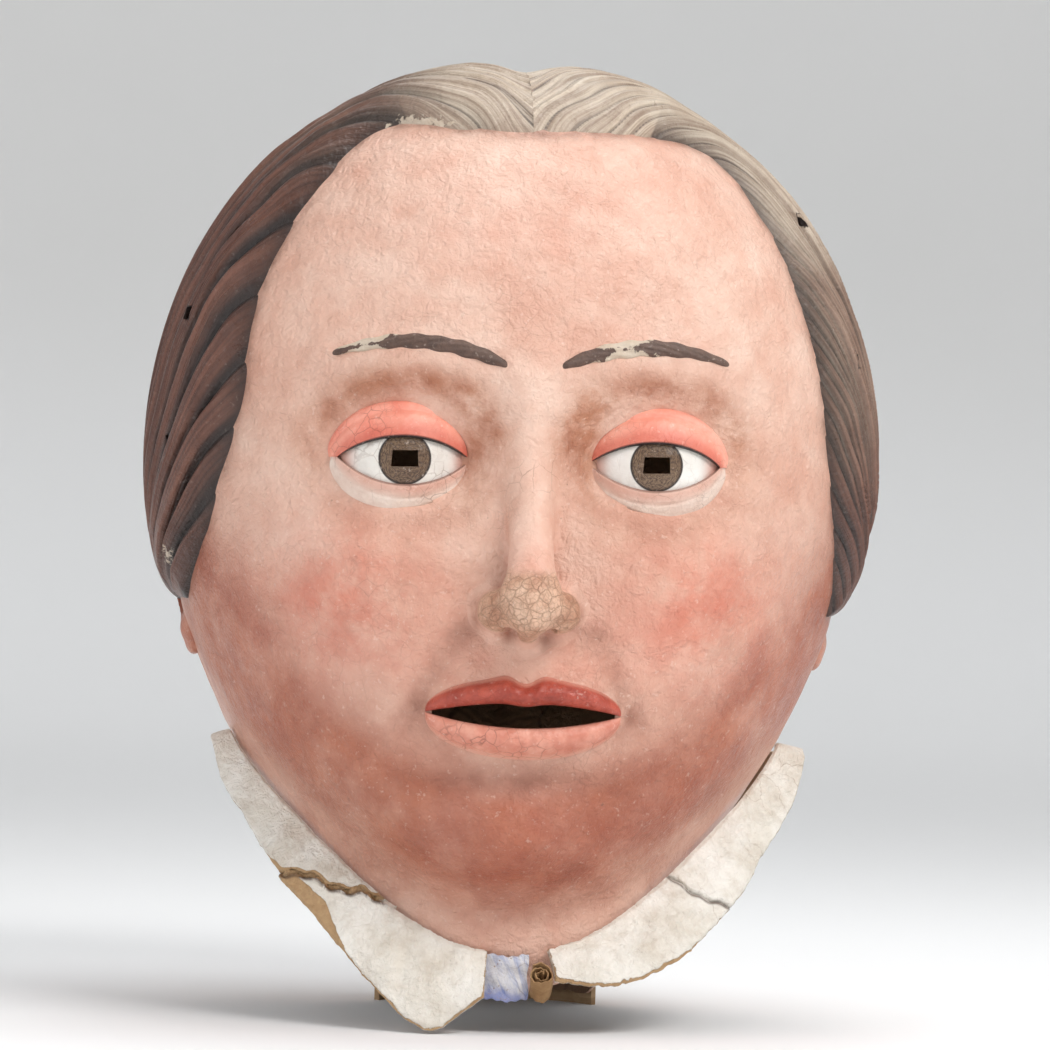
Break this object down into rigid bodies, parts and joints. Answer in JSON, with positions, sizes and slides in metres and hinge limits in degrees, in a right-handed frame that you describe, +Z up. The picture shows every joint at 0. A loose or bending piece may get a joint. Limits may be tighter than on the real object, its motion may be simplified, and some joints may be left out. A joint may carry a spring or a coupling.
{
  "type": "oversized papier-mache costume head",
  "caption": "Oversized painted papier-mache head with a paper collar, worn over the wearer's own head, with peepholes, an open mouth and inner straps.",
  "frame": {"origin": "middle of the base, on the surface that the head stands on", "axes": "+Z up from the collar to the crown, -Y out of the face, +X to the viewer's right"},
  "size_m": [0.3678, 0.3844, 0.4749],
  "materials": {
    "painted_skin": "satin",
    "painted_hair": "satin",
    "painted_nose": "satin",
    "painted_eye_white": "satin",
    "painted_lid": "satin",
    "painted_brow": "satin",
    "painted_upper_lip": "satin",
    "painted_lower_lip": "satin",
    "painted_collar": "matte",
    "painted_tie": "matte",
    "raw_paper": "matte",
    "raw_card": "matte",
    "wire": "satin",
    "webbing": "matte",
    "felt": "matte"
  },
  "bodies": {
    "root": {"face_shell": "painted_skin", "back_shell": "painted_skin", "seam_strip": "raw_paper", "hair_left": "painted_hair", "hair_right": "painted_hair", "hair_back": "painted_hair", "nose": "painted_nose", "eye_left": "painted_eye_white", "eye_right": "painted_eye_white", "upper_lid_left": "painted_lid", "upper_lid_right": "painted_lid", "lower_lid_left": "painted_skin", "lower_lid_right": "painted_skin", "brow_left": "painted_brow", "brow_right": "painted_brow", "upper_lip": "painted_upper_lip", "lower_lip": "painted_lower_lip", "ear_left": "painted_skin", "ear_right": "painted_skin", "collar_leaf_left": "painted_collar", "collar_leaf_right": "painted_collar", "collar_back": "painted_collar", "tie_patch": "painted_tie", "torn_roll": "raw_paper", "rim_wire": "wire", "nape_band": "raw_card", "crown_strap_long": "webbing", "crown_strap_cross": "webbing", "crown_pad": "felt", "strap_patches": "raw_paper"}
  },
  "joints": []
}
